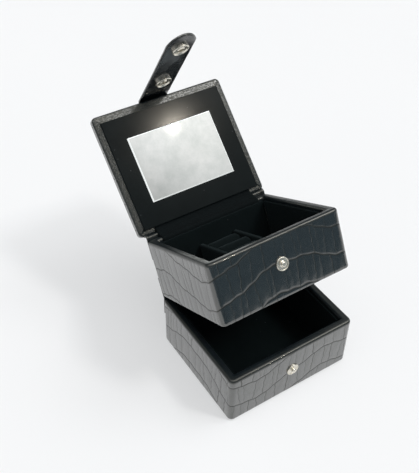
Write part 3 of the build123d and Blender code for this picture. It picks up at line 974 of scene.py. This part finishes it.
def soft_box(name, pose, radius, seed):
    """A velvet box with rounded edges and slightly uneven faces, in place of a CAD node."""
    low, high = shut_box(name, pose)
    piece = new_piece(name + "_dressed", bpy.ops.mesh.primitive_cube_add, size=2)
    edit(piece, (bpy.ops.mesh.subdivide, {"number_cuts": CELLS - 1}))
    spots, half = points_of(piece), (high - low) / 2
    edge, soft = 1 - EDGE_CELLS * 2 / CELLS, np.minimum(radius, half * 0.98)
    for axis in range(3):
        spots[:, axis] = np.interp(
            spots[:, axis], [-1, -edge, edge, 1],
            [-half[axis], soft[axis] - half[axis], half[axis] - soft[axis], half[axis]])
    core = np.clip(spots, soft - half, half - soft)
    out = (spots - core) / soft
    size = np.maximum(np.linalg.norm(out, axis=1), 1e-9)
    spots = core + out / size[:, None] * np.abs(out).max(axis=1)[:, None] * soft
    draw = np.random.default_rng(seed)
    for axis in range(3):
        waves = draw.uniform(90, 300, 3) * spots @ np.ones(3) + draw.uniform(0, 6)
        spots[:, axis] += UNEVEN * np.sin(waves) * np.sin(draw.uniform(80, 220) * spots[:, (axis + 1) % 3])
    set_points(piece, spots + (low + high) / 2)
    dress(piece, "velvet", pose, name)
    return piece


tiers = {"lower": (lower_pose, "lower_tier"), "upper": (upper_pose, "upper_tier")}
for number, (tier, (pose, body)) in enumerate(tiers.items()):
    for side in ("front_lining", "back_lining", "left_lining", "right_lining", "floor_pad"):
        pad = soft_box(f"{tier}_{side}", pose, LINING_ROUND, seed=number * 10 + len(side))
        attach(pad, body)
print("linings made for", list(tiers))

# %% [markdown]
# ## Insert of the upper tray
# Two partitions and a foam block stand in the upper tray, and the block carries five soft rolls for rings.
# A roll is a flat grid wrapped round into a tube with rounded, slightly gathered ends.

# %% Partitions, block and ring rolls
WALL_ROUND, ROLL_END, ROLLS = 1.5 * MM, 2.2 * MM, 5
GATHER, GATHERS, ROLL_UNEVEN = 0.2 * MM, 13, 0.12 * MM
for number, name in enumerate(("left_divider", "right_divider", "ring_block")):
    wall = soft_box(name, upper_pose, WALL_ROUND, seed=40 + number)
    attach(wall, "upper_tier")


def ring_roll(name, seed):
    """A velvet tube, flat below, with gathered ends."""
    low, high = shut_box(name, upper_pose)
    radius, half = (high[1] - low[1]) / 2, (high[0] - low[0]) / 2
    middle = np.array([0, (low[1] + high[1]) / 2, high[2] - radius])
    profile = [
        (radius - ROLL_END, lambda d: (d, -half + 0 * d)),
        bend(ROLL_END, lambda s, c: (radius - ROLL_END + ROLL_END * s, -half + ROLL_END * (1 - c))),
        (half - ROLL_END, lambda d: (radius + 0 * d, -half + ROLL_END + d)),
    ]
    piece, shares = flat_grid(name + "_dressed", 72, 60)
    side = shares[:, 1] * 2 - 1
    along = walk(profile, (1 - np.abs(side)) * length_of(profile))
    angle = shares[:, 0] * 2 * math.pi
    draw = np.random.default_rng(seed)
    gather = GATHER * np.sin(GATHERS * angle + draw.uniform(0, 6)) * np.exp(-(1 - np.abs(side)) * 9)
    soft = ROLL_UNEVEN * np.sin(3 * angle + 5 * side + draw.uniform(0, 6))
    around = np.maximum(along[:, 0] + (gather + soft) * np.minimum(along[:, 0] / radius, 1), 0)
    x = along[:, 1] * np.where(side < 0, 1, -1)
    spots = middle + np.column_stack([x, around * np.cos(angle), around * np.sin(angle)])
    spots[:, 2] = np.maximum(spots[:, 2], low[2])
    set_points(piece, spots)
    face_outwards(piece)
    dress(piece, "velvet", upper_pose, name)
    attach(piece, "upper_tier")


for number in range(ROLLS):
    ring_roll(f"ring_roll_{number + 1}", 60 + number)
print("ring rolls made", ROLLS)

# %% [markdown]
# ## Lid panel
# A velvet-covered board lines the lid, with a window for the mirror. It is a grid with the window's cells
# deleted, thickened and rounded at its edges.

# %% Lid panel
PANEL_GRID = 36
panel_low, panel_high = shut_box("lid_panel", lid_pose)
glass_low, glass_high = shut_box("mirror", lid_pose)
lid_panel, shares = flat_grid("lid_panel_dressed", PANEL_GRID, PANEL_GRID)
spots = np.zeros((len(shares), 3))
for axis in range(2):
    stops = [panel_low[axis], glass_low[axis], glass_high[axis], panel_high[axis]]
    spots[:, axis] = np.interp(shares[:, axis], [0, 1 / 6, 5 / 6, 1], stops)
spots[:, 2] = (panel_low[2] + panel_high[2]) / 2
set_points(lid_panel, spots)


def in_window(face):
    """Whether a face lies over the mirror."""
    spot = np.array(face.center)[:2]
    return np.all(spot > glass_low[:2]) and np.all(spot < glass_high[:2])


edit_faces(lid_panel, in_window, bpy.ops.mesh.delete, type="FACE")
apply_modifier(lid_panel, "SOLIDIFY", thickness=panel_high[2] - panel_low[2], offset=0.0)
round_edges(lid_panel, 0.35 * MM, 3)
face_outwards(lid_panel, 0.001 * MM)
store(lid_panel, "flattened", [float(face.normal.z < -0.99) for face in lid_panel.data.polygons], "FACE")
dress(lid_panel, "velvet", lid_pose, "lid_panel")
bpy.ops.object.shade_smooth_by_angle(angle=math.radians(10))
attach(lid_panel, "lid")
print("window", [round(v / MM, 1) for v in glass_high[:2] - glass_low[:2]], "mm")

# %% [markdown]
# ## Mirror
# The mirror is a plate with a narrow bevel round its face. The face is silvered. The ground bevel and edges
# are bare glass with a painted glow, so they show as a pale line.

# %% Mirror
GLASS_BEVEL = 0.8 * MM


def looks_out(face):
    """Whether a face of the glass looks out of the lid, with the box shut."""
    return face.normal.z < -0.9


mirror = new_piece("mirror_dressed", bpy.ops.mesh.primitive_cube_add, size=1)
set_points(mirror, points_of(mirror) * (glass_high - glass_low) + (glass_low + glass_high) / 2)
edit_faces(mirror, looks_out, bpy.ops.mesh.bevel, offset=GLASS_BEVEL, segments=1)
silvered = [looks_out(face) for face in mirror.data.polygons]
dress(mirror, "mirror", lid_pose, "mirror")
mirror.data.materials.append(glass_edge_with_painted_glow)
for face, is_silvered in zip(mirror.data.polygons, silvered):
    face.material_index = 0 if is_silvered else 1
bpy.ops.object.shade_flat()
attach(mirror, "lid")
print("mirror faces", len(mirror.data.polygons), "silvered", sum(silvered))

# %% [markdown]
# ## Floor
# The photograph has a white floor. A wide round disc takes the shadow. It gives off some light of its own, as
# a light table does, so that it stays white under soft lamps.

# %% Floor
FLOOR_GLOW = 0.492
floor = new_piece("floor", bpy.ops.mesh.primitive_circle_add, vertices=128, radius=16, fill_type="NGON")
paper, shader, place = new_finish(
    "light_table", Roughness=0.95, Specular_IOR_Level=0.0, Emission_Strength=FLOOR_GLOW)
shade = noise(place, 3.0)
vary(
    shader,
    Base_Color=ramp(shade, (0.0, (0.355, 0.36, 0.366)), (1.0, (0.365, 0.37, 0.376))),
    Emission_Color=ramp(shade, (0.0, (0.98, 0.99, 1.0)), (1.0, WHITE)),
)
floor.data.materials.append(paper)
print("floor", round(floor.dimensions.x, 1), "m across")

# %% [markdown]
# ## Sky
# Gloss shows what stands round the box, so the sky is painted. It is brighter overhead than at the horizon,
# which leaves the fronts dark and lets the sides mirror the white floor, and it is darker behind the box. A
# faint backdrop stands all round except in front, and a soft fill comes from behind on the left. Two round
# lights stand high on the right: a softbox, and a weak halo close to the place of the small spark lamp.

# %% Sky
UPWARDS, BACKWARDS, AHEAD = (0, 0, 1), (0, 1, 0), (0.41, -0.91, 0)
FILL_FROM, LAMP_AT, SOFTBOX_AT = (-0.6, 0.8, 0), (0.447, -0.522, 0.727), (0.56, -0.25, 0.79)
LAMP_REACH, SOFTBOX_REACH = 9, 16
world = bpy.data.worlds.new("studio")
scene.world = world
world.use_nodes = True
sky = Socket(world.node_tree.nodes.new("ShaderNodeTexCoord").outputs["Generated"])


def grey(level):
    """A neutral colour."""
    return (level, level, level)


def towards(direction):
    """Cosine of the angle between the way looked and a direction."""
    return sky.node("ShaderNodeVectorMath", {"operation": "DOT_PRODUCT"},
                    {0: sky, 1: Vector(direction).normalized()}, "Value")


def together(first, second):
    """Two lights added."""
    return mix(first, second, blend="ADD")


def away_from(direction, reach):
    """0 where a round light stands and 1 from its edge on."""
    return (1.0 - towards(direction)) * (1 / (1 - math.cos(math.radians(reach))))


dome = ramp(towards(UPWARDS), (0.0, (0.09, 0.14, 0.175)), (0.3, (0.24, 0.275, 0.295)), (0.72, grey(0.41)),
            (0.86, grey(1.15)), (1.0, grey(2.4)))
dome = mix(dome, ramp(towards(BACKWARDS), (0.1, grey(1.0)), (0.4, grey(0.35))), blend="MULTIPLY")
low = (0.35 - towards(UPWARDS)) * 3.0
around = (0.8 - towards(AHEAD)) * 2.5
backdrop = ramp(low.math("MAXIMUM", low, 0.0) * around, (0.0, BLACK), (1.0, grey(0.2)))
fill = ramp(towards(FILL_FROM), (0.0, BLACK), (1.0, grey(0.2)))
lamp = ramp(away_from(LAMP_AT, LAMP_REACH), (0.0, (0.54, 0.535, 0.525)), (0.05, (0.46, 0.457, 0.45)),
            (0.2, grey(0.32)), (0.45, grey(0.15)), (1.0, BLACK))
softbox = ramp(away_from(SOFTBOX_AT, SOFTBOX_REACH), (0.0, grey(6.0)), (0.3, grey(3.8)), (1.0, BLACK))
light = together(together(dome, backdrop), together(fill, together(lamp, softbox)))
feed(world.node_tree.nodes["Background"].inputs["Color"], light)
print("sky has", len(world.node_tree.nodes), "nodes")

# %% [markdown]
# ## Lamps
# Three far lamps give the shadow and the glints. The key lamp is soft and isn't seen in glossy pieces. The side
# lamp is very wide. The spark is small, warm and weak. It makes the glow on the velvet above the mirror, and
# the mirror shows it at its top edge.


# %% Lamps
def sun(name, way, energy, spread, colour, shine):
    """A far lamp that shines along a direction. Glossy pieces show it only with shine."""
    data = bpy.data.lights.new(name, "SUN")
    data.energy, data.angle, data.color = energy, math.radians(spread), colour
    lamp = bpy.data.objects.new(name, data)
    scene.collection.objects.link(lamp)
    lamp.visible_glossy = shine
    lamp.matrix_world = Vector(way).to_track_quat("-Z", "Y").to_matrix().to_4x4()


sun("key", (-0.4, 0.46, -0.79), 1.02, 11, WHITE, False)
sun("side", (-0.75, 0.1, -0.65), 0.4, 40, WHITE, True)
sun("spark", (-0.4104, 0.5214, -0.7481), 0.145, 0.5, (1.0, 0.91, 0.77), True)
print("lamps placed", len(bpy.data.lights))

# %% [markdown]
# ## Finishes on the CAD nodes
# The snaps and the underside cloths already have their true shape in the CAD model, so they only get a finish.
# So do the boards, the foam and the mirror's tape inside.

# %% Finishes on the CAD nodes
slot_of = {part["node"]: part["material_slot"] for part in frame["record"]["subparts"]}
for name, node in nodes.items():
    node.data.materials.clear()
    node.data.materials.append(by_slot[slot_of[name]])
print("finished", len(nodes), "nodes")
